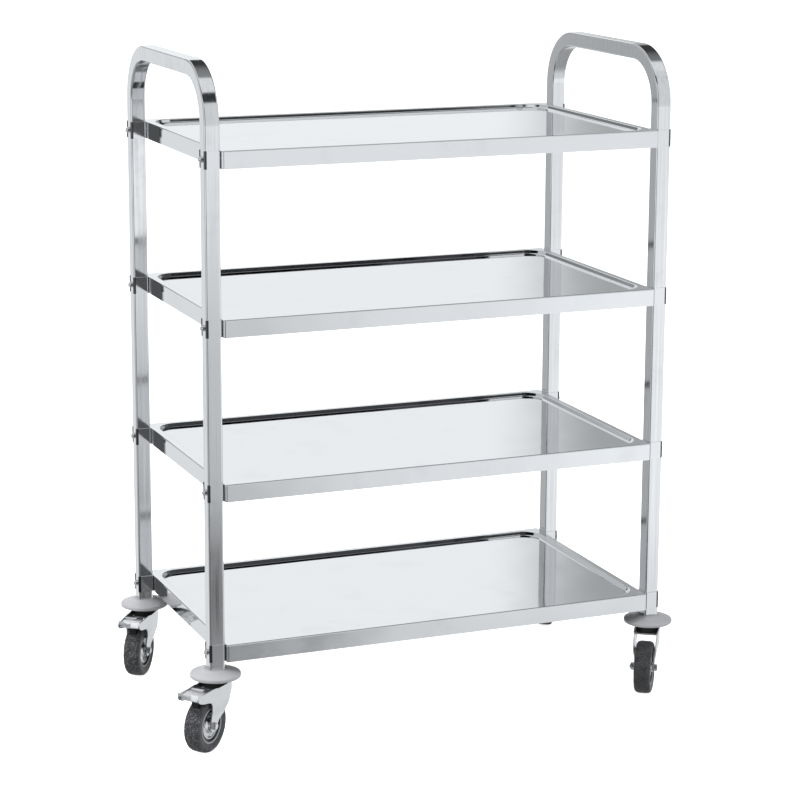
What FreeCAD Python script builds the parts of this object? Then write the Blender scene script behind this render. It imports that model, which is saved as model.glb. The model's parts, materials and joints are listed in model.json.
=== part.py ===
import FreeCAD, Part
import math
import os

os.makedirs("parts", exist_ok=True)

V = FreeCAD.Vector
UP = V(0, 0, 1)

# Four-tier stainless service trolley. Millimetres, +X along its length, +Y to the rear, +Z up.
# The origin lies on the floor under the middle of the whole trolley, castors and pedals included.

# Driving sizes of the frame
LENGTH = 900.0
LEG_DEPTH = 476.0
TUBE = 28.0
TUBE_WALL = 1.5
TUBE_CORNER = 3.0
HANDLE_TOP = 1229.5
BEND_RADIUS = 93.0
LEG_BOTTOM = 145.0
PLUG_TOP = 171.0

# Driving sizes of the shelves
SHELF_TOPS = [192.0 + 296.0 * level for level in range(4)]
SKIRT_HEIGHT = 31.6
SHEET = 1.2
SKIRT_PROUD = 9.0
RIM_ALONG = 15.0
RIM_END = 14.0
WELL_DEPTH = 6.5
WELL_LEAN = 3.9
WELL_CORNER = 40.0
HEM_WIDTH = 8.0

# Driving sizes of the fasteners
BOLT_RADIUS = 2.95
BOLT_HOLE = 3.2
BOLT_DROP = SKIRT_HEIGHT / 2.0
NUT_ACROSS = 10.0
NUT_THICK = 5.0

# Driving sizes of the castors. "Along" is measured from the swivel axis towards the trailing
# wheel, "across" along the wheel's axle.
WHEEL_RADIUS = 50.0
TYRE_HALF_WIDTH = 16.0
TRAIL = 36.8
CROWN_UNDER = 110.5
CROWN_THICK = 3.0
FORK_WALL = 2.4
FORK_HALF_TOP = 24.0
FORK_HALF_ARMS = 22.0
FORK_HALF_AXLE = 19.4
FORK_RIM = 119.0
ARM_RIM = 120.5
PIVOT_U = 70.0
PIVOT_Z = 109.0
PEDAL_TRAVEL = 15.0

# The castors and pedals reach out to the left and the front, so the end frames and shelves
# stand this far to the right and the rear of the middle.
PLAN_SHIFT_X = 21.0
PLAN_SHIFT_Y = 16.0

# Places worked out from the driving sizes
LEG_X = LENGTH / 2.0 - TUBE / 2.0
LEG_Y = LEG_DEPTH / 2.0 - TUBE / 2.0
TRAY_HALF_X = LENGTH / 2.0 - TUBE - SHEET
TRAY_HALF_Y = LEG_DEPTH / 2.0 + SKIRT_PROUD
CROWN_TOP = CROWN_UNDER + CROWN_THICK
CORNERS = [(-1, -1), (1, -1), (-1, 1), (1, 1)]


def block(x0, x1, y0, y1, z0, z1):
    return Part.makeBox(x1 - x0, y1 - y0, z1 - z0, V(x0, y0, z0))


def rod(radius, start, direction, length):
    return Part.makeCylinder(radius, length, start, direction)


def rounded_rectangle(half_x, half_y, radius, z):
    """A closed wire with four rounded corners, lying level at height z."""
    box = Part.makeBox(2 * half_x, 2 * half_y, 1.0, V(-half_x, -half_y, z))
    upright = [e for e in box.Edges if abs(e.Vertexes[0].Z - e.Vertexes[-1].Z) > 0.5]
    soft = box.makeFillet(radius, upright)
    lowest = min(soft.Faces, key=lambda f: f.CenterOfMass.z)
    return lowest.OuterWire


def rounded_block(half_x, half_y, radius, z0, z1):
    face = Part.Face(rounded_rectangle(half_x, half_y, radius, z0))
    return face.extrude(V(0, 0, z1 - z0))


def level_edges(shape, z):
    """The edges of a shape that lie flat at height z."""
    found = []
    for edge in shape.Edges:
        box = edge.BoundBox
        if abs(box.ZMin - z) < 1e-4 and abs(box.ZMax - z) < 1e-4:
            found.append(edge)
    return found


def turned(points):
    """A solid of revolution about the Z axis from (radius, height) points."""
    corners = [V(r, 0, z) for r, z in points]
    wire = Part.makePolygon(corners + [corners[0]])
    return Part.Face(wire).revolve(V(0, 0, 0), UP, 360)


def plate(points, y0, y1):
    """An upright plate from (along, height) points, thick from y0 to y1."""
    corners = [V(u, y0, z) for u, z in points]
    wire = Part.makePolygon(corners + [corners[0]])
    return Part.Face(wire).extrude(V(0, y1 - y0, 0))


def hexagon(across, start, direction, length):
    """A hexagonal prism, measured across its flats."""
    reach = across / math.sqrt(3)
    ring = [V(reach * math.cos(math.radians(a)), reach * math.sin(math.radians(a)), 0)
            for a in range(0, 361, 60)]
    solid = Part.Face(Part.makePolygon(ring)).extrude(V(0, 0, length))
    solid.Placement = FreeCAD.Placement(start, FreeCAD.Rotation(UP, direction))
    return solid


def save(name, *solids):
    """Write one node. Several solids stay separate inside their node."""
    shape = solids[0] if len(solids) == 1 else Part.makeCompound(list(solids))
    shape.translate(V(PLAN_SHIFT_X, PLAN_SHIFT_Y, 0))
    shape.exportStep("parts/" + name + ".step")


def tube_section(half):
    """The level outline of the square tube about the Z axis."""
    outer = rounded_rectangle(half, half, TUBE_CORNER, 0)
    inner_half = half - TUBE_WALL
    inner = rounded_rectangle(inner_half, inner_half, TUBE_CORNER - TUBE_WALL, 0)
    return Part.Face(outer).cut(Part.Face(inner)).Faces[0]


def end_frame(side):
    """One inverted U of square tube: two legs, two bends and the handle bar."""
    section = tube_section(TUBE / 2.0)
    handle_centre = HANDLE_TOP - TUBE / 2.0
    bend_z = handle_centre - BEND_RADIUS
    bend_y = LEG_Y - BEND_RADIUS
    pieces = []
    for rear in (-1, 1):
        leg = section.copy()
        leg.translate(V(0, rear * LEG_Y, LEG_BOTTOM))
        pieces.append(leg.extrude(V(0, 0, bend_z - LEG_BOTTOM)))
        start = section.copy()
        start.translate(V(0, rear * LEG_Y, bend_z))
        pieces.append(start.revolve(V(0, rear * bend_y, bend_z), V(rear, 0, 0), 90))
    bar = section.copy()
    bar.rotate(V(0, 0, 0), V(1, 0, 0), 90)
    bar.translate(V(0, bend_y, handle_centre))
    pieces.append(bar.extrude(V(0, -2 * bend_y, 0)))
    frame = pieces[0].fuse(pieces[1:]).removeSplitter()
    for top in SHELF_TOPS:
        for rear in (-1, 1):
            start = V(-TUBE, rear * LEG_Y, top - BOLT_DROP)
            frame = frame.cut(rod(BOLT_HOLE, start, V(1, 0, 0), 2 * TUBE))
    frame.translate(V(side * LEG_X, 0, 0))
    return frame.Solids[0]


def well_block(rim, grow, z0, z1):
    """The well between two heights, its walls leaning out as they rise to the rim."""
    wires = []
    for z in (z0, z1):
        out = grow + (z - rim) * WELL_LEAN / WELL_DEPTH
        half_x = TRAY_HALF_X - RIM_END + out
        half_y = TRAY_HALF_Y - RIM_ALONG + out
        wires.append(rounded_rectangle(half_x, half_y, WELL_CORNER + out, z))
    return Part.makeLoft(wires, True, True)


def shelf(top):
    """One pressed tray: flat rim, sunk well, skirts all round and a turned-in hem."""
    bottom = top - SKIRT_HEIGHT
    outer = rounded_block(TRAY_HALF_X, TRAY_HALF_Y, 4.0, bottom, top)
    outer = outer.makeFillet(2.0, level_edges(outer, top))
    inside = rounded_block(TRAY_HALF_X - SHEET, TRAY_HALF_Y - SHEET, 2.8, bottom - 1, top - SHEET)
    inside = inside.makeFillet(0.8, level_edges(inside, top - SHEET))
    hem_x = TRAY_HALF_X - SHEET - HEM_WIDTH
    hem_y = TRAY_HALF_Y - SHEET - HEM_WIDTH
    hem = rounded_block(TRAY_HALF_X - 0.5, TRAY_HALF_Y - 0.5, 3.5, bottom, bottom + SHEET)
    hem = hem.cut(rounded_block(hem_x, hem_y, 6.0, bottom - 1, bottom + 2))
    well_x = TRAY_HALF_X - RIM_END
    well_y = TRAY_HALF_Y - RIM_ALONG
    floor = top - WELL_DEPTH
    under = well_block(top, SHEET, floor - SHEET, top - 0.2)
    under = under.makeFillet(2.5 + SHEET, level_edges(under, floor - SHEET))
    sunk = well_block(top, 0, floor, top + 2)
    sunk = sunk.makeFillet(2.5, level_edges(sunk, floor))
    tray = outer.cut(inside).fuse([hem, under]).cut(sunk).removeSplitter()
    lip = [e for e in level_edges(tray, top)
           if e.BoundBox.XMax < well_x + 0.5 and e.BoundBox.XMin > -well_x - 0.5
           and e.BoundBox.YMax < well_y + 0.5 and e.BoundBox.YMin > -well_y - 0.5]
    tray = tray.makeFillet(2.0, lip)
    for side, rear in CORNERS:
        start = V(side * (TRAY_HALF_X - 4), rear * LEG_Y, top - BOLT_DROP)
        tray = tray.cut(rod(BOLT_HOLE, start, V(side, 0, 0), 8))
    return tray.Solids[0]


def post_clips(top):
    """Four C-shaped clips that hold a shelf's end skirts against the legs."""
    bottom = top - SKIRT_HEIGHT
    half = TUBE / 2.0
    clips = []
    for side, rear in CORNERS:
        outer = rounded_block(half + SHEET, half + SHEET, TUBE_CORNER + SHEET, bottom, top)
        inner = rounded_block(half, half, TUBE_CORNER, bottom - 1, top + 1)
        near, far = sorted((side * half, side * (half + 5)))
        mouth = block(near, far, 2 - half, half - 2, bottom - 1, top + 1)
        clip = outer.cut(inner).cut(mouth)
        clip.translate(V(side * LEG_X, rear * LEG_Y, 0))
        start = V(side * (LEG_X - half - 4), rear * LEG_Y, top - BOLT_DROP)
        clip = clip.cut(rod(BOLT_HOLE, start, V(side, 0, 0), 8))
        clips.append(clip.Solids[0])
    return clips


def domed_bolt(side, rear, top):
    """A domed bolt pushed in through the leg, from the outer face inwards."""
    head = turned([(0, 0), (5.2, 0), (5.2, 2.6), (4.9, 4.0), (4.0, 5.6), (2.4, 6.9), (0, 7.4)])
    shank_length = TUBE + 2 * SHEET + NUT_THICK + 2.0
    shank = rod(BOLT_RADIUS, V(0, 0, 0), V(0, 0, -1), shank_length)
    bolt = head.fuse(shank).removeSplitter()
    place = V(side * LENGTH / 2.0, rear * LEG_Y, top - BOLT_DROP)
    bolt.Placement = FreeCAD.Placement(place, FreeCAD.Rotation(UP, V(side, 0, 0)))
    return bolt


def shelf_nut(side, rear, top):
    """The hexagon nut inside the end skirt."""
    face = TRAY_HALF_X - SHEET
    start = V(side * face, rear * LEG_Y, top - BOLT_DROP)
    inward = V(-side, 0, 0)
    nut = hexagon(NUT_ACROSS, start, inward, NUT_THICK)
    return nut.cut(rod(3.0, start, inward, NUT_THICK))


def leg_plug(side, rear):
    """The square plug in the foot of a leg that takes the castor stud."""
    half = TUBE / 2.0 - TUBE_WALL - 0.1
    plug = rounded_block(half, half, 1.4, LEG_BOTTOM, PLUG_TOP)
    plug = plug.cut(rod(6.0, V(0, 0, LEG_BOTTOM - 1), UP, 60))
    plug.translate(V(side * LEG_X, rear * LEG_Y, 0))
    return plug


def bumper(side, rear):
    """The soft domed disc between the foot of a leg and its castor."""
    disc = turned([(6.1, 131), (16, 131), (18, 138), (40, 134.5), (42, 130.5), (44.5, 130.2),
                   (45.7, 131), (46, 132.4), (46, 135.4), (45.2, 136.8), (43, 137.8), (36, 140),
                   (28, 142.4), (21, 145), (6.1, 145)])
    disc.translate(V(side * LEG_X, rear * LEG_Y, 0))
    return disc


def castor_top():
    """Fixed half of the swivel: stud, flange, race and the riveted kingpin."""
    return turned([(0, 106), (7.4, 106), (9, 107.2), (9, 110.4), (5, 110.4), (5, 118.7),
                   (18.6, 118.7), (18.6, 127), (25, 127), (25, 131), (5.95, 131), (5.95, PLUG_TOP - 3),
                   (5, PLUG_TOP - 2), (0, PLUG_TOP - 2)])


def castor_seal():
    """The dark dust ring round the ball race, held under the flange."""
    return turned([(18.8, 113.9), (20.8, 113.9), (21.2, 114.5), (21.2, 126.3), (20.6, 126.9),
                   (18.8, 126.9)])


def castor_balls():
    """The ring of steel balls the fork turns on."""
    balls = []
    for step in range(12):
        angle = math.radians(30 * step)
        centre = V(13 * math.cos(angle), 13 * math.sin(angle), CROWN_TOP + 2.6)
        balls.append(Part.makeSphere(2.5, centre))
    return balls


def level_block(points, z0, z1):
    """An upright block from the (along, across) points of its right half, mirrored left."""
    ring = points + [(u, -v) for u, v in reversed(points)]
    corners = [V(u, v, z0) for u, v in ring]
    wire = Part.makePolygon(corners + [corners[0]])
    return Part.Face(wire).extrude(V(0, 0, z1 - z0))


def fork_plan(inset):
    """A tall block with the fork's plan: drawn in at the front corners and towards the arms."""
    half = FORK_HALF_TOP - inset
    arms = FORK_HALF_ARMS - inset
    right = [(inset - 25, 15 - inset / 2), (inset / 2 - 20, half - 2), (-4, half), (20, half),
             (46, arms), (100, arms)]
    return level_block(right, 30, 130)


def fork_section(inset):
    """A long block with the fork's end view: upright at the top, stepped in at the axle."""
    top = FORK_HALF_TOP - inset
    low = FORK_HALF_AXLE - inset
    right = [(low, 30), (low, 68), (top, 90), (top, 130)]
    points = right + [(-v, z) for v, z in reversed(right)]
    corners = [V(-30, v, z) for v, z in points]
    wire = Part.makePolygon(corners + [corners[0]])
    return Part.Face(wire).extrude(V(130, 0, 0))


def castor_fork(braked):
    """The pressed fork: a sunk round crown between two tapering cheeks, with arms if braked."""
    leading = [(-26, FORK_RIM), (-26, 113), (-20, 104), (-13, 93), (-6, 79), (2, 67),
               (20, 58), (26.4, 50)]
    reach = 10.4
    tip = [(TRAIL + reach * math.cos(math.radians(a)),
            WHEEL_RADIUS + reach * math.sin(math.radians(a))) for a in range(195, 361, 15)]
    if braked:
        trailing = [(44, 70), (45.6, 92), (49, 97), (58, 100), (70, 102), (80, 104.6),
                    (88, 108), (91.4, 112), (92, 116), (90.6, 119), (87, ARM_RIM), (34, ARM_RIM),
                    (27, FORK_RIM)]
    else:
        trailing = [(44, 70), (43, 92), (38, 106), (31, 115), (27, FORK_RIM)]
    outline = plate(leading + tip + trailing, -40, 40)
    outside = fork_plan(0).common(fork_section(0))
    inside = fork_plan(FORK_WALL).common(fork_section(FORK_WALL))
    walls = outside.cut(inside).common(outline).cut(block(95, 110, -50, 50, 0, 140))
    crown = fork_plan(1).common(block(-30, 27, -30, 30, CROWN_UNDER, CROWN_TOP))
    fork = walls.fuse(crown)
    fork = fork.cut(rod(5.08, V(0, 0, 100), UP, 30))
    fork = fork.cut(rod(4.1, V(TRAIL, -40, WHEEL_RADIUS), V(0, 1, 0), 80))
    if braked:
        fork = fork.cut(rod(2.52, V(PIVOT_U, -40, PIVOT_Z), V(0, 1, 0), 80))
    return fork.removeSplitter()


def axle_bolt():
    """The hexagon bolt the wheel runs on, its head on the side the wheel is seen from."""
    shank_start = V(TRAIL, -FORK_HALF_AXLE - 9.0, WHEEL_RADIUS)
    shank = rod(4.0, shank_start, V(0, 1, 0), 2 * FORK_HALF_AXLE + 9.0)
    start = V(TRAIL, FORK_HALF_AXLE, WHEEL_RADIUS)
    head = hexagon(11.5, start, V(0, 1, 0), 4.6)
    dome = rod(4.6, start, V(0, 1, 0), 5.4)
    return shank.fuse([head, dome]).removeSplitter()


def axle_nut():
    start = V(TRAIL, -FORK_HALF_AXLE, WHEEL_RADIUS)
    nut = hexagon(13, start, V(0, -1, 0), 6.8)
    return nut.cut(rod(4.05, start, V(0, -1, 0), 6.8))


def axle_sleeve():
    """The spacer tube clamped between the cheeks."""
    half = FORK_HALF_AXLE - FORK_WALL
    start = V(TRAIL, -half, WHEEL_RADIUS)
    sleeve = rod(6.0, start, V(0, 1, 0), 2 * half)
    return sleeve.cut(rod(4.1, start, V(0, 1, 0), 2 * half))


def on_axle(solid):
    """Turn a solid made about the Z axis onto the wheel axle."""
    solid.rotate(V(0, 0, 0), V(1, 0, 0), 90)
    solid.translate(V(TRAIL, 0, WHEEL_RADIUS))
    return solid


def wheel_rim():
    """The dished metal wheel centre."""
    half = [(6.1, 15.6), (9, 15.6), (10, 12.6), (15, 9.5), (20.5, 8.4), (22.4, 9.4), (23, 11.6),
            (24.5, 11.6)]
    mirrored = [(r, -z) for r, z in reversed(half)]
    return on_axle(turned(half + mirrored))


def tyre():
    """The rubber tyre: a sunk ring next to the rim, a raised ring, then rounded shoulders."""
    half = [(24.5, 10.2), (28.2, 10.2), (29.2, 13.4), (30.4, 14.4), (32.4, 14.4), (33.6, 13.6),
            (36, 14.6), (40.5, TYRE_HALF_WIDTH), (43.8, TYRE_HALF_WIDTH), (46.6, 15.0),
            (48.6, 12.8), (49.6, 9.8), (WHEEL_RADIUS, 6.0)]
    mirrored = [(r, -z) for r, z in reversed(half)]
    return on_axle(turned(half + mirrored))


def brake_shoe():
    """The bar under the pedal. It swings onto the tyre when the pedal is pressed."""
    rise = PIVOT_Z - WHEEL_RADIUS
    run = PIVOT_U - TRAIL
    reach = math.hypot(rise, run) - WHEEL_RADIUS - 0.5
    bar = block(-3, 3, -6, 6, -reach, 0)
    tilt = 90 - math.degrees(math.atan2(rise, run)) - PEDAL_TRAVEL
    bar.rotate(V(0, 0, 0), V(0, 1, 0), tilt)
    bar.translate(V(PIVOT_U, 0, PIVOT_Z))
    return bar


def toe_lift(half):
    """The flared ear at one corner of the pedal, used to lift it off again."""
    flare = plate([(80, 117.2), (85.5, 116.4), (89.6, 118), (93, 121.2), (95.2, 125.4),
                   (96.8, 124.4), (94.8, 119.4), (91, 115.6), (86.4, 113.4), (80, 114.4)],
                  -half, 0)
    slope = [V(70, v, z) for v, z in [(-half + 3, 126), (5, 114), (5, 130), (-half + 3, 130)]]
    return flare.cut(Part.Face(Part.makePolygon(slope + [slope[0]])).extrude(V(40, 0, 0)))


def brake_pedal():
    """The foot pedal in one piece: arched plate, side flanges, toe lift, hub and brake shoe."""
    half = FORK_HALF_ARMS - FORK_WALL - 0.6
    arch = [(43, 113.2), (50, 116.2), (59, 118.4), (69, 119.0), (78, 117.8), (84, 115.2),
            (87.6, 111.4)]
    under = [(u - 0.6, z - 2.2) for u, z in reversed(arch)]
    tread = plate(arch + under, -half, half)
    flange = [(50, 114.6), (84.4, 113.6), (86, 110.4), (80, 108), (70, 104.8), (64, 106)]
    flanges = [plate(flange, -half, 2 - half), plate(flange, half - 2, half)]
    hub = rod(4.4, V(PIVOT_U, -half, PIVOT_Z), V(0, 1, 0), 2 * half)
    pedal = tread.fuse(flanges + [hub, brake_shoe(), toe_lift(half)])
    pedal = pedal.cut(rod(2.58, V(PIVOT_U, -30, PIVOT_Z), V(0, 1, 0), 60))
    return pedal.removeSplitter()


def pedal_pin():
    """The rivet the pedal turns on, flush with both arms."""
    return rod(2.5, V(PIVOT_U, -FORK_HALF_ARMS, PIVOT_Z), V(0, 1, 0), 2 * FORK_HALF_ARMS)


def pedal_spring():
    """The flat spring under the crown that holds the pedal up."""
    top = [(9.5, 110.4), (26, 110.4), (38, 108.2), (52, 113.4)]
    under = [(u + 0.1, z - 0.8) for u, z in reversed(top)]
    return plate(top + under, -7.0, 7.0)


# Where each castor stands and which way its wheel trails, in degrees from +X
CASTORS = {
    "front_left": (-1, -1, 220.0, True),
    "front_right": (1, -1, 236.0, False),
    "rear_left": (-1, 1, 234.0, True),
    "rear_right": (1, 1, 240.0, False),
}


def build():
    save("frame_left", end_frame(-1))
    save("frame_right", end_frame(1))
    for level, top in enumerate(SHELF_TOPS):
        number = str(len(SHELF_TOPS) - level)
        save("shelf_" + number, shelf(top))
        save("shelf_" + number + "_post_clips", *post_clips(top))
    seats = [(side, rear, top) for top in SHELF_TOPS for side, rear in CORNERS]
    save("shelf_bolts", *[domed_bolt(*seat) for seat in seats])
    save("shelf_nuts", *[shelf_nut(*seat) for seat in seats])
    save("leg_plugs", *[leg_plug(side, rear) for side, rear in CORNERS])
    for name, (side, rear, heading, braked) in CASTORS.items():
        save("bumper_" + name, bumper(side, rear))
        pieces = {
            "top": [castor_top()],
            "seal": [castor_seal()],
            "balls": castor_balls(),
            "fork": [castor_fork(braked)],
            "axle_bolt": [axle_bolt()],
            "axle_nut": [axle_nut()],
            "axle_sleeve": [axle_sleeve()],
            "wheel_rim": [wheel_rim()],
            "tyre": [tyre()],
        }
        if braked:
            pieces["brake_pedal"] = [brake_pedal()]
            pieces["pedal_pin"] = [pedal_pin()]
            pieces["pedal_spring"] = [pedal_spring()]
        for piece, solids in pieces.items():
            for solid in solids:
                solid.rotate(V(0, 0, 0), UP, heading)
                solid.translate(V(side * LEG_X, rear * LEG_Y, 0))
            save("castor_" + name + "_" + piece, *solids)


build()
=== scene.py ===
import json
import math

import bmesh
import bpy
from mathutils import Matrix, Vector


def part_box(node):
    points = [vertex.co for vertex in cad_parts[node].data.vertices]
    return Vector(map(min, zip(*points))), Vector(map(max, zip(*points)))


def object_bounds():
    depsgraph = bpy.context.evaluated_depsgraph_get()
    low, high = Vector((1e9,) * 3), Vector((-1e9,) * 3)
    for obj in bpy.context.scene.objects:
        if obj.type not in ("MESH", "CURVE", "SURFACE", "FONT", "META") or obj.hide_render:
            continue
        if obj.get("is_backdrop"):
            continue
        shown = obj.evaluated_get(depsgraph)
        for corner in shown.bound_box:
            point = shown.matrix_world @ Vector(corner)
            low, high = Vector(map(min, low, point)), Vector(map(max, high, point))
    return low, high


# The looks of a four-tier stainless service trolley. Metres, in the frame of the CAD model.

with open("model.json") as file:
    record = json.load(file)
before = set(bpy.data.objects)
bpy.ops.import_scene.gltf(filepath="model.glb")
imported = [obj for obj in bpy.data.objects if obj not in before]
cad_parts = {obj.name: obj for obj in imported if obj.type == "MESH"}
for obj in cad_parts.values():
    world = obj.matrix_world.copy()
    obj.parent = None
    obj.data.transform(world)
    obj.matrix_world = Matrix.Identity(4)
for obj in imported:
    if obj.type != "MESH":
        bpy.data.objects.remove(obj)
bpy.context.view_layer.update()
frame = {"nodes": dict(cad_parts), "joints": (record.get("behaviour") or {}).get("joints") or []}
nodes = frame["nodes"]
joints = {joint["name"]: joint for joint in frame["joints"]}
scene = bpy.context.scene
CASTORS = ("front_left", "front_right", "rear_left", "rear_right")


class Shader:
    """A small helper that adds nodes to the node tree of a material or of the world."""

    def __init__(self, tree):
        self.tree = tree
        self.skin = tree.nodes.get("Principled BSDF")
        self.look = tree.nodes.new("ShaderNodeTexCoord")
        self.place = self.look.outputs["Object"]

    def link(self, source, target):
        """Joins an output to an input, or sets the input when source is a plain value."""
        if isinstance(source, (int, float, tuple)):
            target.default_value = source
        else:
            self.tree.links.new(source, target)

    def set(self, **values):
        """Sets inputs of the surface shader by name."""
        for name, value in values.items():
            self.skin.inputs[name.replace("_", " ")].default_value = value

    def stretch(self, scale):
        """The place on the object, scaled differently along each axis."""
        node = self.tree.nodes.new("ShaderNodeMapping")
        node.inputs["Scale"].default_value = scale
        self.link(self.place, node.inputs["Vector"])
        return node.outputs["Vector"]

    def noise(self, scale, vector=None, detail=3.0, rough=0.5):
        node = self.tree.nodes.new("ShaderNodeTexNoise")
        node.inputs["Scale"].default_value = scale
        node.inputs["Detail"].default_value = detail
        node.inputs["Roughness"].default_value = rough
        self.link(vector or self.place, node.inputs["Vector"])
        return node.outputs["Fac"]

    def cells(self, size):
        """Distance to the nearest edge between small irregular blocks, in block sizes."""
        node = self.tree.nodes.new("ShaderNodeTexVoronoi")
        node.feature = "DISTANCE_TO_EDGE"
        node.inputs["Scale"].default_value = 1.0 / size
        node.inputs["Randomness"].default_value = 0.75
        self.link(self.place, node.inputs["Vector"])
        return node.outputs["Distance"]

    def split(self, vector):
        """The X, Y and Z of a vector."""
        node = self.tree.nodes.new("ShaderNodeSeparateXYZ")
        self.link(vector, node.inputs[0])
        return node.outputs

    def math(self, kind, a, b=0.0, c=0.0):
        node = self.tree.nodes.new("ShaderNodeMath")
        node.operation = kind
        for value, socket in zip((a, b, c), node.inputs):
            self.link(value, socket)
        return node.outputs[0]

    def vector(self, kind, a, b=(0.0, 0.0, 0.0)):
        node = self.tree.nodes.new("ShaderNodeVectorMath")
        node.operation = kind
        self.link(a, node.inputs[0])
        self.link(b, node.inputs[1])
        gives_number = kind in ("DOT_PRODUCT", "LENGTH")
        return node.outputs["Value" if gives_number else "Vector"]

    def span(self, value, low, high, to_low, to_high):
        """Moves a value smoothly from one range to another."""
        node = self.tree.nodes.new("ShaderNodeMapRange")
        node.interpolation_type = "SMOOTHSTEP"
        for socket, number in zip(node.inputs, (0, low, high, to_low, to_high)):
            socket.default_value = number
        self.link(value, node.inputs[0])
        return node.outputs[0]

    def mix(self, factor, a, b):
        node = self.tree.nodes.new("ShaderNodeMix")
        node.data_type = "RGBA"
        # A mix node has one set of sockets per kind of value, all with the same names
        self.link(factor, node.inputs[0])
        self.link(a, node.inputs[6])
        self.link(b, node.inputs[7])
        return node.outputs[2]

    def bump(self, height, distance, before=None):
        node = self.tree.nodes.new("ShaderNodeBump")
        node.inputs["Strength"].default_value = 1.0
        node.inputs["Distance"].default_value = distance
        self.link(height, node.inputs["Height"])
        if before is not None:
            self.link(before, node.inputs["Normal"])
        return node.outputs["Normal"]


def new_skin(name):
    """A helper on a new material, and the material."""
    material = bpy.data.materials.new(name)
    material.use_nodes = True
    return Shader(material.node_tree), material


def polished(name, light, dark, rough, wave, lines=(900.0, 900.0, 900.0), scratch=0.0, metal=1.0,
             pitch=7.0):
    """Polished metal: slow waves in the sheet, polishing lines, and faint hand marks."""
    s, material = new_skin(name)
    s.set(Metallic=metal)
    marks = s.span(s.noise(9.0, detail=6.0, rough=0.65), 0.5, 0.72, 0.0, 1.0)
    grain = s.noise(1.0, s.stretch(lines), detail=2.0)
    roughness = s.math("ADD", s.span(grain, 0.3, 0.7, rough * 0.8, rough * 1.25),
                       s.math("MULTIPLY", marks, rough * 0.7))
    s.link(roughness, s.skin.inputs["Roughness"])
    tone = s.math("ADD", s.math("MULTIPLY", marks, 0.35), s.span(grain, 0.25, 0.75, 0.0, 0.45))
    s.link(s.mix(tone, light, dark), s.skin.inputs["Base Color"])
    normal = s.bump(s.noise(pitch, detail=1.0), wave)
    if scratch:
        normal = s.bump(grain, scratch, normal)
    s.link(normal, s.skin.inputs["Normal"])
    return material


def moulded(name, light, dark, rough, grain_size, depth, specks=0.0):
    """Moulded plastic or rubber: fine grain, slow changes of tone, and scuffed spots."""
    s, material = new_skin(name)
    s.set(Metallic=0.0)
    cloud = s.noise(14.0, detail=4.0)
    grain = s.noise(1.0 / grain_size, detail=3.0, rough=0.6)
    scuff = s.span(s.noise(60.0, detail=8.0, rough=0.7), 0.56, 0.7, 0.0, 1.0)
    tone = s.math("ADD", s.span(cloud, 0.3, 0.7, 0.0, 0.7), s.math("MULTIPLY", scuff, specks))
    s.link(s.mix(tone, dark, light), s.skin.inputs["Base Color"])
    s.link(s.math("ADD", s.span(grain, 0.3, 0.7, rough - 0.06, rough + 0.08),
                  s.math("MULTIPLY", scuff, 0.08)), s.skin.inputs["Roughness"])
    s.link(s.bump(grain, depth), s.skin.inputs["Normal"])
    return material


def tyre_rubber(castor):
    """Grey rubber with a small block tread, its block tops painted pale as highlights, most on the
    left pair, and a paler ring each side.
    """
    # Painted highlight: the tread block tops are painted paler than the rubber, strongly on the left
    # pair and faintly on the right pair
    tread_highlight = (0.20, 0.202, 0.212, 1) if castor.endswith("left") else (0.09, 0.091, 0.096, 1)
    joint = joints["wheel_spin_" + castor]
    s, material = new_skin("tyre_rubber_" + castor)
    # Distance from the wheel's axle
    offset = s.vector("SUBTRACT", s.place, tuple(joint["pos_m"]))
    across = s.vector("DOT_PRODUCT", offset, tuple(joint["axis"]))
    reach = s.vector("LENGTH", offset)
    radius = s.math("SQRT", s.math("SUBTRACT", s.math("MULTIPLY", reach, reach),
                                   s.math("MULTIPLY", across, across)))
    tread = s.span(radius, 0.0452, 0.0468, 0.0, 1.0)
    ring = s.math("MULTIPLY", s.span(radius, 0.0290, 0.0298, 0.0, 1.0),
                  s.span(radius, 0.0328, 0.0338, 1.0, 0.0))
    blocks = s.span(s.cells(0.0036), 0.05, 0.22, 0.0, 1.0)
    cloud = s.span(s.noise(90.0, detail=4.0), 0.35, 0.7, 0.0, 1.0)
    rubber = s.mix(cloud, (0.030, 0.031, 0.035, 1), (0.060, 0.061, 0.066, 1))
    patches = s.math("MULTIPLY", blocks, s.span(s.noise(210.0, detail=2.0), 0.42, 0.58, 0.15, 1.0))
    highlighted_tread = s.mix(s.math("MULTIPLY", tread, patches), rubber, tread_highlight)
    s.link(s.mix(s.math("MULTIPLY", ring, 0.8), highlighted_tread, (0.34, 0.35, 0.36, 1)),
           s.skin.inputs["Base Color"])
    s.link(s.span(s.noise(700.0), 0.3, 0.7, 0.36, 0.56), s.skin.inputs["Roughness"])
    fine = s.bump(s.noise(2500.0, detail=2.0), 0.00005)
    s.link(s.bump(s.math("MULTIPLY", tread, blocks), 0.0016, fine), s.skin.inputs["Normal"])
    return material


def darken(material, amount, tone):
    """Blends a finish towards a flat tone where amount is 1, to paint shade."""
    s = Shader(material.node_tree)
    socket = s.skin.inputs["Base Color"]
    before = socket.links[0].from_socket
    s.link(s.mix(amount(s), before, tone), socket)


def beyond(axis, limit, soft):
    """1 where the object's own coordinate along an axis passes a limit."""
    def amount(s):
        low, high = sorted((limit, limit + soft))
        ends = (0.0, 1.0) if soft > 0 else (1.0, 0.0)
        return s.span(s.split(s.place)[axis], low, high, *ends)
    return amount


def underside_painted_shade(s):
    """1 on the undersides, where the finish is painted dark as shade."""
    return s.span(s.split(s.look.outputs["Normal"])["Z"], -0.7, -0.4, 1.0, 0.0)


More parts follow.
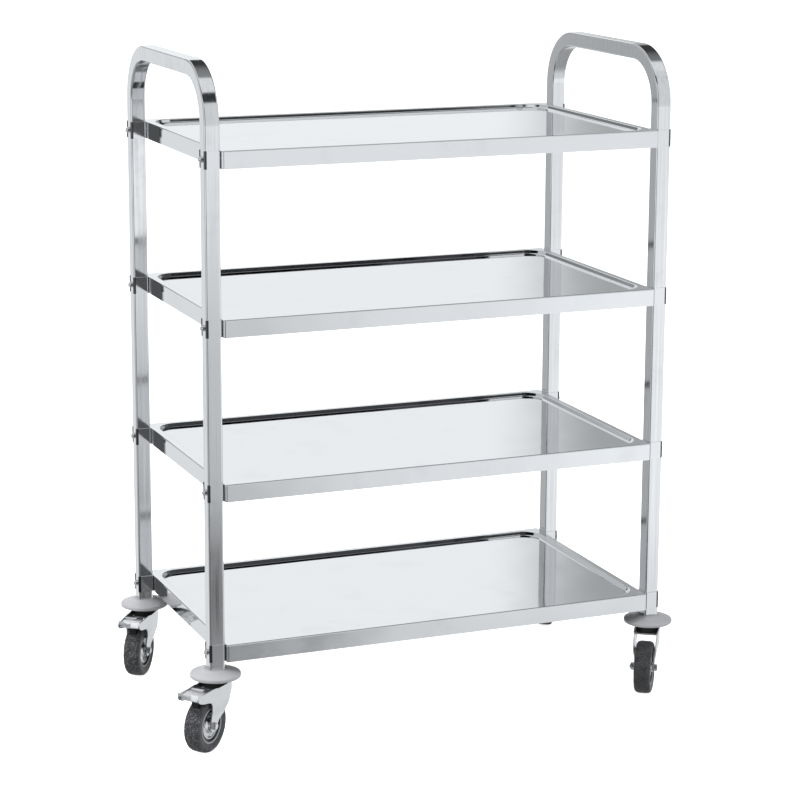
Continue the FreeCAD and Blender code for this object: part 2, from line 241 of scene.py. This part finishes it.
SHEET = polished("sheet_steel", (0.73, 0.74, 0.755, 1), (0.66, 0.67, 0.69, 1), 0.06, 0.0005)
# Painted shade: the sheet steel's undersides are painted dark grey
darken(SHEET, underside_painted_shade, (0.13, 0.13, 0.137, 1))
TUBE = polished("tube_steel", (0.74, 0.745, 0.76, 1), (0.60, 0.61, 0.63, 1), 0.10, 0.0003,
                lines=(260.0, 260.0, 4.0), scratch=0.00002)
CLIP = polished("clip_steel", (0.74, 0.745, 0.76, 1), (0.62, 0.63, 0.65, 1), 0.09, 0.0003)
# Painted shade: the clips' outer ends, turned into the shade, are painted nearly black
clip_low, clip_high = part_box("shelf_1_post_clips")
CLIP_SHADE = (0.10, 0.10, 0.105, 1)
darken(CLIP, beyond("X", clip_low.x + 0.0052, -0.0008), CLIP_SHADE)
darken(CLIP, beyond("X", clip_high.x - 0.0056, 0.0008), CLIP_SHADE)
BOLT = polished("bolt_steel", (0.76, 0.76, 0.77, 1), (0.62, 0.62, 0.63, 1), 0.10, 0.00003)
PLATED = polished("plated_steel", (0.74, 0.745, 0.76, 1), (0.54, 0.545, 0.56, 1), 0.17, 0.0009,
                  metal=0.92, pitch=40.0)
PEDAL = polished("pedal_steel", (0.82, 0.825, 0.84, 1), (0.74, 0.745, 0.76, 1), 0.22, 0.0003,
                 metal=0.7)
# Painted shade: below the pedal plate, the brake shoe is painted near black as the shade beneath the
# plate
PEDAL_SHADE_TOP = 0.1045
darken(PEDAL, beyond("Z", PEDAL_SHADE_TOP, -0.001), (0.03, 0.03, 0.032, 1))
RIM = polished("rim_steel", (0.76, 0.765, 0.775, 1), (0.46, 0.465, 0.48, 1), 0.17, 0.0009)
SPRING = polished("spring_steel", (0.32, 0.32, 0.33, 1), (0.2, 0.2, 0.21, 1), 0.3, 0.0001)
BUMPER = moulded("bumper_plastic", (0.455, 0.455, 0.47, 1), (0.38, 0.38, 0.395, 1), 0.36, 0.0007,
                 0.00006, specks=0.3)
BLACK = moulded("black_plastic", (0.03, 0.03, 0.03, 1), (0.015, 0.015, 0.015, 1), 0.5, 0.0006,
                0.00005)
SEAL = moulded("seal_rubber", (0.02, 0.02, 0.02, 1), (0.01, 0.01, 0.01, 1), 0.55, 0.0006, 0.00005)

# The first key found in a node's name gives its finish
FINISH = [("castor_" + castor + "_tyre", tyre_rubber(castor)) for castor in CASTORS]
FINISH += [
    ("frame_", TUBE), ("_post_clips", CLIP), ("shelf_bolts", BOLT), ("shelf_nuts", PLATED),
    ("shelf_", SHEET), ("leg_plugs", BLACK), ("bumper_", BUMPER), ("_seal", SEAL),
    ("_wheel_rim", RIM), ("_brake_pedal", PEDAL), ("_pedal_spring", SPRING), ("_axle", PLATED),
    ("_balls", BOLT), ("castor_", PLATED),
]

for name, node in nodes.items():
    node.data.materials.clear()
    node.data.materials.append(next(skin for key, skin in FINISH if key in name))

# Studio floor, pale and lit evenly

floor_mesh = bpy.data.meshes.new("floor")
shape = bmesh.new()
bmesh.ops.create_grid(shape, x_segments=1, y_segments=1, size=60.0)
shape.to_mesh(floor_mesh)
shape.free()
floor = bpy.data.objects.new("floor", floor_mesh)
scene.collection.objects.link(floor)
paint, floor_paint = new_skin("floor_paint")
paint.set(Roughness=0.95, Emission_Color=(1, 1, 1, 1), Emission_Strength=0.86)
paint.skin.inputs["Specular IOR Level"].default_value = 0.0
paint.link(paint.mix(paint.noise(0.4), (0.88, 0.88, 0.88, 1), (0.90, 0.90, 0.90, 1)),
           paint.skin.inputs["Base Color"])
floor.data.materials.append(floor_paint)
floor.visible_glossy = False
floor.visible_diffuse = False
floor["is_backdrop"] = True

# The room that the polished steel reflects. It is painted by direction only: a pale floor and
# back wall, a darker side towards the photographer, and a dark ceiling with a lit front half.

world = bpy.data.worlds.new("studio")
scene.world = world
world.use_nodes = True
room = Shader(world.node_tree)
X, Y, Z = room.split(room.look.outputs["Generated"])


def both(*values):
    total = values[0]
    for value in values[1:]:
        total = room.math("MULTIPLY", total, value)
    return total


def blend(start, end, amount):
    """start where amount is 0, end where it is 1."""
    return room.math("MULTIPLY_ADD", amount, room.math("SUBTRACT", end, start), start)


# How bright the parts of the room are
FRONT_FLOOR, FRONT_WALL, FRONT_GAP, FRONT_CEILING, PHOTOGRAPHER = 1.02, 0.84, 0.04, 0.95, 0.13
BACK_FLOOR, BACK_FLOOR_LEFT, BACK_DIM_RIGHT, BACK_HIGH, BACK_TOP = 0.92, 0.50, 0.45, 0.05, 0.30
UNDERFOOT = 0.42

in_front = room.span(Y, -0.06, 0.06, 1.0, 0.0)
deep = room.math("MAXIMUM", room.math("ABSOLUTE", Y), 0.02)
side = room.math("DIVIDE", X, deep)
# In front, low down: bright to the right, darker to the left and close to the trolley
right = room.span(side, 0.24, 0.43, 0.0, 1.0)
not_right = room.math("SUBTRACT", 1.0, right)
near = room.span(Z, -0.22, -0.14, 1.0, 0.0)
nearest = room.span(Z, -0.34, -0.27, 1.0, 0.0)
floor_front = room.math("SUBTRACT", FRONT_FLOOR, both(near, not_right, 0.60))
floor_front = room.math("SUBTRACT", floor_front, both(nearest, 0.17))
floor_front = room.math("SUBTRACT", floor_front, both(nearest, not_right, 0.20))
far_patch = room.span(side, 0.292, 0.310, 0.22, 0.0)
floor_front = room.math("ADD", floor_front, far_patch)
lamp_patch = both(room.span(side, 0.44, 0.52, 0.0, 1.0), room.span(Z, -0.31, -0.26, 0.0, 1.0),
                  room.span(Z, -0.17, -0.12, 1.0, 0.0))
floor_front = room.math("ADD", floor_front, both(lamp_patch, 0.16))
dark_patch = both(room.span(side, 0.35, 0.42, 1.0, 0.0), room.span(Z, -0.322, -0.306, 0.0, 1.0),
                  room.span(Z, -0.288, -0.276, 1.0, 0.0))
floor_front = blend(floor_front, 0.02, dark_patch)
# In front, higher: pale wall, dark gap, then a lit ceiling
gap_side = room.span(side, 0.76, 0.88, 1.0, 0.0)
lean = room.math("MULTIPLY", room.math("MAXIMUM", room.math("SUBTRACT", side, 0.56), 0.0), 0.55)
gap_low = room.span(room.math("SUBTRACT", Z, lean), 0.55, 0.59, 0.0, 1.0)
gap = both(gap_low, room.span(Z, 0.775, 0.82, 1.0, 0.0), gap_side)
wall_front = blend(FRONT_WALL, FRONT_GAP, gap)
wall_front = blend(wall_front, FRONT_CEILING, room.span(Z, 0.79, 0.83, 0.0, 1.0))
front = blend(floor_front, wall_front, room.span(Z, -0.10, 0.02, 0.0, 1.0))
# In front to the left, where the photographer stands, the room is dark
dark_side = both(room.span(side, -0.22, 0.10, 1.0, 0.0), room.span(side, -1.0, -0.6, 0.0, 1.0),
                 room.span(Z, 0.4, 0.6, 1.0, 0.0), room.span(Z, -0.36, -0.24, 0.35, 1.0))
front = blend(front, PHOTOGRAPHER, dark_side)
# Behind: bright back wall to the right, darker to the left, dark above
left = room.span(side, -0.50, -0.35, 1.0, 0.0)
left_wall = room.span(side, -0.34, -0.14, 1.0, 0.0)
floor_back = blend(BACK_FLOOR, BACK_FLOOR_LEFT, left)
far_left = room.span(side, -0.52, -0.38, 0.66, 0.24)
dim_right = both(room.span(side, 0.450, 0.510, 0.0, 1.0), room.span(Z, 0.04, 0.12, 0.0, 1.0))
wall_back = blend(room.span(Z, 0.10, 0.33, 1.00, 1.10), BACK_DIM_RIGHT, dim_right)
wall_back = blend(wall_back, far_left, left_wall)
back = blend(floor_back, wall_back, room.span(Z, -0.04, 0.06, 0.0, 1.0))
high = room.span(side, 0.20, 0.32, 0.0, 1.0)
back = blend(back, BACK_HIGH, both(high, room.span(Z, 0.36, 0.44, 0.0, 1.0)))
back = blend(back, BACK_TOP, both(high, room.span(Z, 0.70, 0.97, 0.0, 1.0)))
brightness = blend(back, front, in_front)
brightness = blend(brightness, UNDERFOOT, room.span(Z, -0.75, -0.45, 1.0, 0.0))
sky = room.tree.nodes["Background"]
room.link(brightness, sky.inputs["Strength"])
sky.inputs["Color"].default_value = (0.965, 0.988, 1.0, 1)


def soft_light(name, at, aim, size, power):
    """A large soft lamp that lights the scene but doesn't show in the metal."""
    data = bpy.data.lights.new(name, "AREA")
    data.shape = "RECTANGLE"
    data.size, data.size_y = size
    data.energy = power
    lamp = bpy.data.objects.new(name, data)
    lamp.location = at
    lamp.rotation_mode = "QUATERNION"
    lamp.rotation_quaternion = (Vector(aim) - Vector(at)).to_track_quat("-Z", "Y")
    lamp.visible_glossy = False
    scene.collection.objects.link(lamp)


soft_light("key", (0.2, -3.2, 2.6), (0.0, 0.0, 0.4), (3.0, 3.0), 60.0)
soft_light("side", (-3.2, 0.3, 2.2), (-0.4, 0.2, 0.2), (2.5, 2.5), 110.0)
soft_light("top", (0.0, 0.6, 3.6), (0.0, 0.0, 0.0), (3.5, 3.5), 60.0)

# Camera, at the photograph's viewing angle
CAMERA_AT = Vector((-1.739, -4.3242, 1.6447))
TURN, DOWN, ROLL = math.radians(21.83), math.radians(11.97), math.radians(0.20)
forward = Vector((math.sin(TURN) * math.cos(DOWN), math.cos(TURN) * math.cos(DOWN), -math.sin(DOWN)))
level = forward.cross(Vector((0, 0, 1))).normalized()
upward = level.cross(forward)
to_right = level * math.cos(ROLL) + upward * math.sin(ROLL)
to_top = upward * math.cos(ROLL) - level * math.sin(ROLL)
lens = bpy.data.cameras.new("camera")
lens.sensor_width = 36.0
lens.lens = 113.51
lens.shift_x = 0.0195
lens.shift_y = -0.0629
lens.clip_start, lens.clip_end = 0.1, 200.0
camera = bpy.data.objects.new("camera", lens)
camera.matrix_world = Matrix((
    (to_right.x, to_top.x, -forward.x, CAMERA_AT.x),
    (to_right.y, to_top.y, -forward.y, CAMERA_AT.y),
    (to_right.z, to_top.z, -forward.z, CAMERA_AT.z),
    (0, 0, 0, 1),
))
scene.collection.objects.link(camera)
scene.camera = camera
scene.view_settings.view_transform = "Standard"

low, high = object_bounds()
